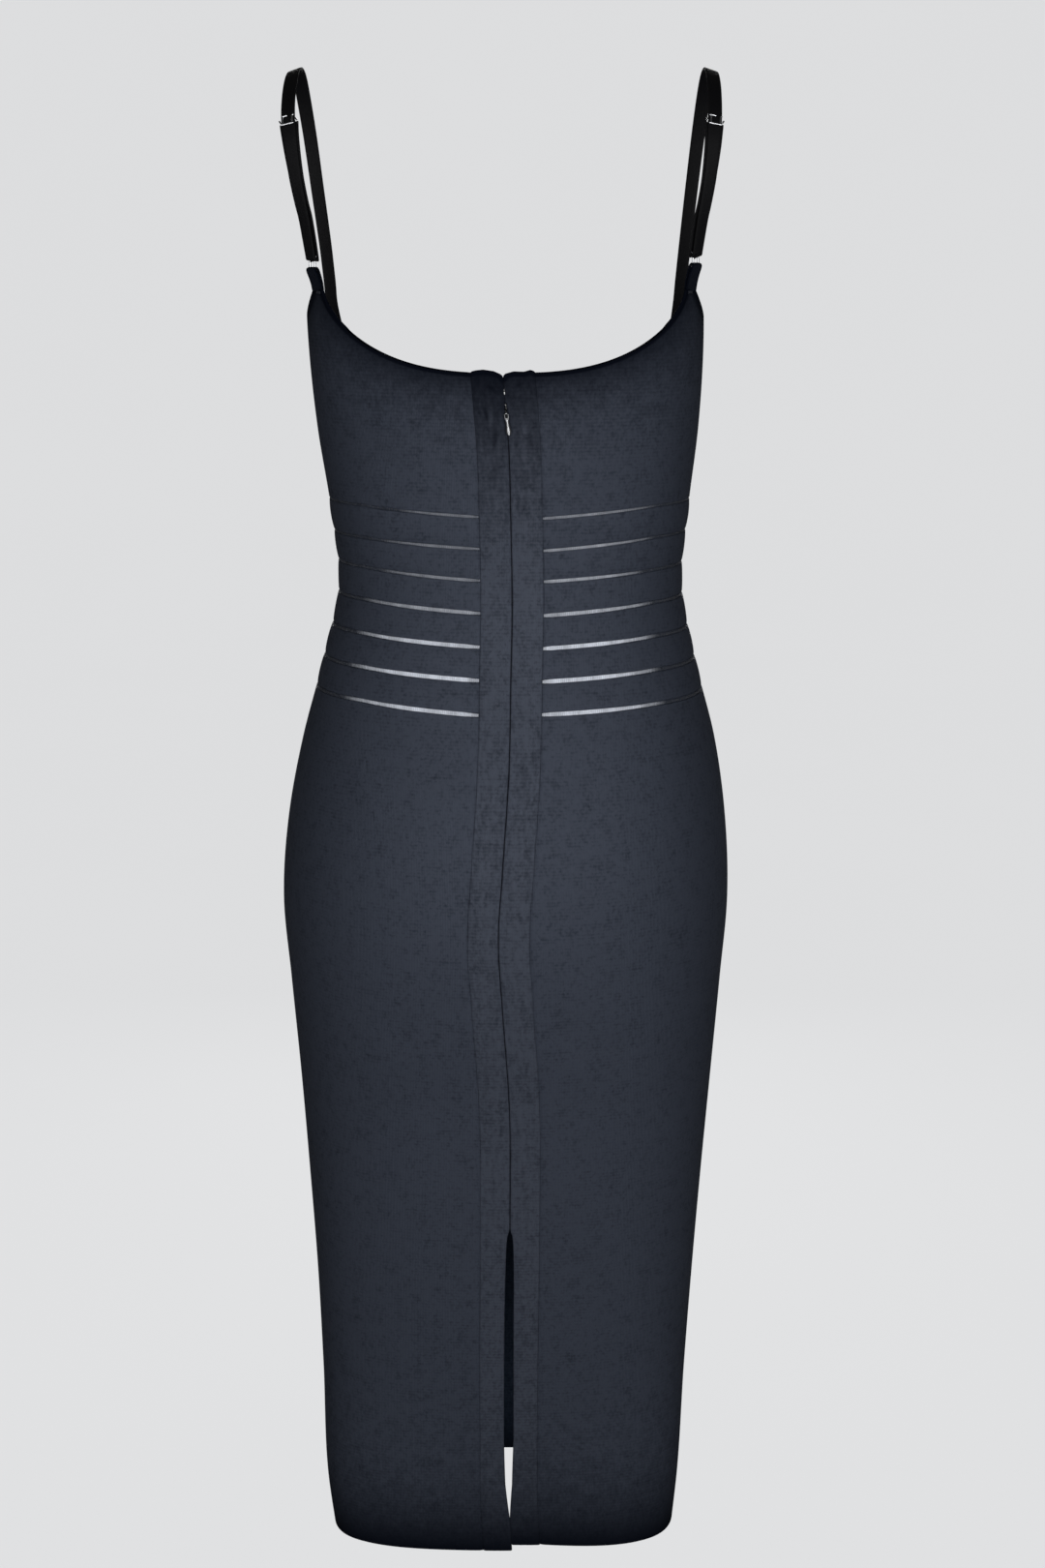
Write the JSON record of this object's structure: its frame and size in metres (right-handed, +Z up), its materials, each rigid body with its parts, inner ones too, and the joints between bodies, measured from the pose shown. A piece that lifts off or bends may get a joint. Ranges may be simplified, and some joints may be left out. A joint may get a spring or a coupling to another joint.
{
  "type": "bodycon dress",
  "caption": "Sleeveless bodycon midi dress in bandage knit with ladder rows at the waist, ring-and-adjuster elastic straps, a back zip and a walking vent at the hem.",
  "frame": {"origin": "midway between the crests of the two shoulder straps, where the wearer's shoulders hold the dress", "axes": "+Z up the body, -Y out of the wearer's back with the zip, +Y out of the front, -X the wearer's left"},
  "size_m": [0.323, 0.2304, 1.0797],
  "materials": {
    "knit": "matte ribbed bandage knit with a soft sheen",
    "band": "matte ribbed knit, slightly puckered",
    "tape": "woven zip tape",
    "elastic": "satin-faced woven elastic",
    "metal": "bright silver plate"
  },
  "bodies": {
    "dress": {"front": "knit", "back_left": "knit", "back_right": "knit", "ring_tab_left": "knit", "ring_tab_right": "knit", "zip_band_left": "band", "zip_band_right": "band", "zip_tape_left": "tape", "zip_tape_right": "tape", "strap_left": "elastic", "strap_right": "elastic", "zip_slider": "metal", "hook": "metal", "eye": "metal", "strap_ring_left": "metal", "strap_ring_right": "metal", "strap_adjuster_left": "metal", "strap_adjuster_right": "metal"},
    "zip_pull": {"zip_pull": "metal"}
  },
  "joints": [
    {"name": "zip_pull_hinge", "type": "hinge", "parent": "dress", "child": "zip_pull", "pos_m": [0.00145, -0.08885, -0.2225], "axis": [-0.9903, 0, -0.1392], "range_deg": [0, 165]}
  ]
}
